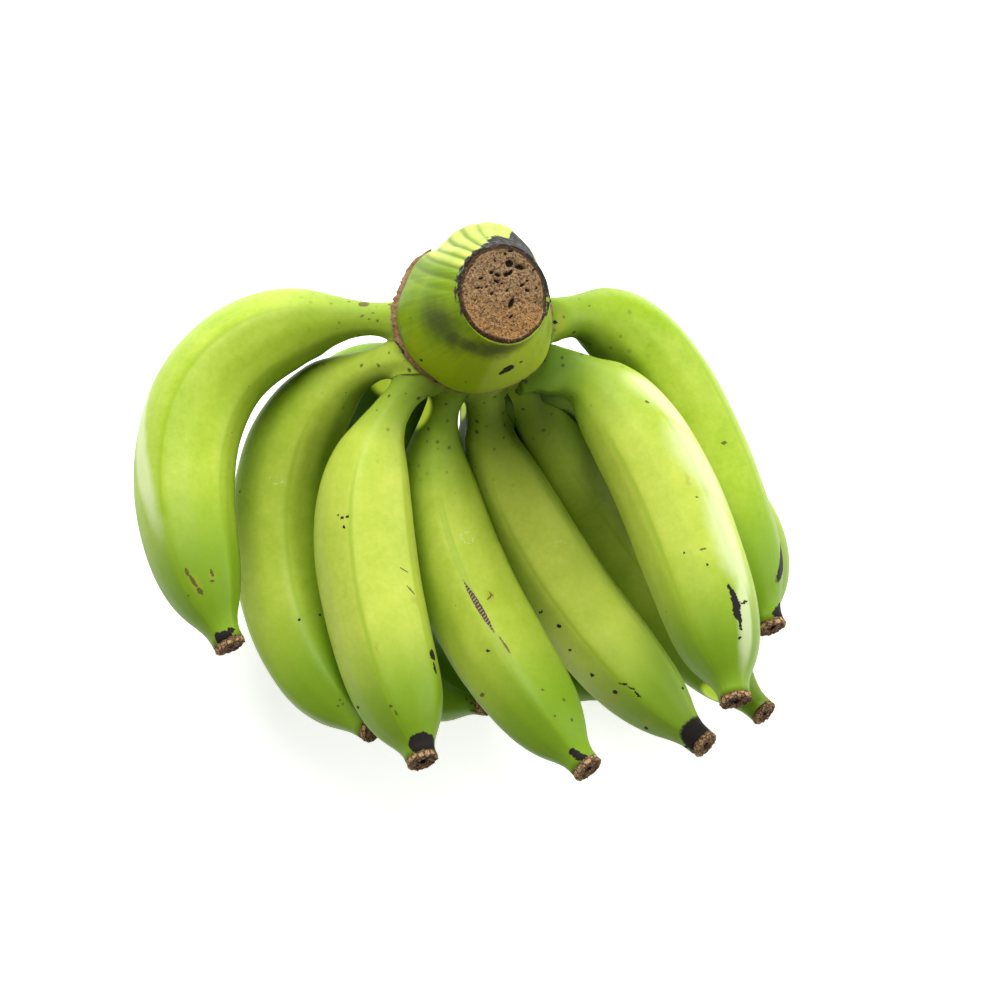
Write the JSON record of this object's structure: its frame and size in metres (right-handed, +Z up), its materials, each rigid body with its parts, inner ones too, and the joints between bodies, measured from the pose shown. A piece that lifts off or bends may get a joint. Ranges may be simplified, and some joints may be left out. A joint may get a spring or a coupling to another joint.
{
  "type": "hand of green bananas",
  "caption": "Hand of unripe green bananas joined at one cut crown, two rows of curved fingers with dry brown tips, lying on its outer curves.",
  "frame": {"origin": "on the surface the hand lies on, under the middle of its box", "axes": "+Z up, out of the crown's cut end; the tips point towards -Y and the crown is at +Y"},
  "size_m": [0.2426, 0.1963, 0.1476],
  "materials": {
    "green_peel": "satin waxy peel, yellow-green in the light and deeper green at the stalks and in the gaps",
    "dry_tissue": "dull brown cut fibre and cork, on the crown's cut face, the bract scar and the tips"
  },
  "bodies": {
    "root": {"banana_hand": "green_peel"}
  },
  "joints": []
}
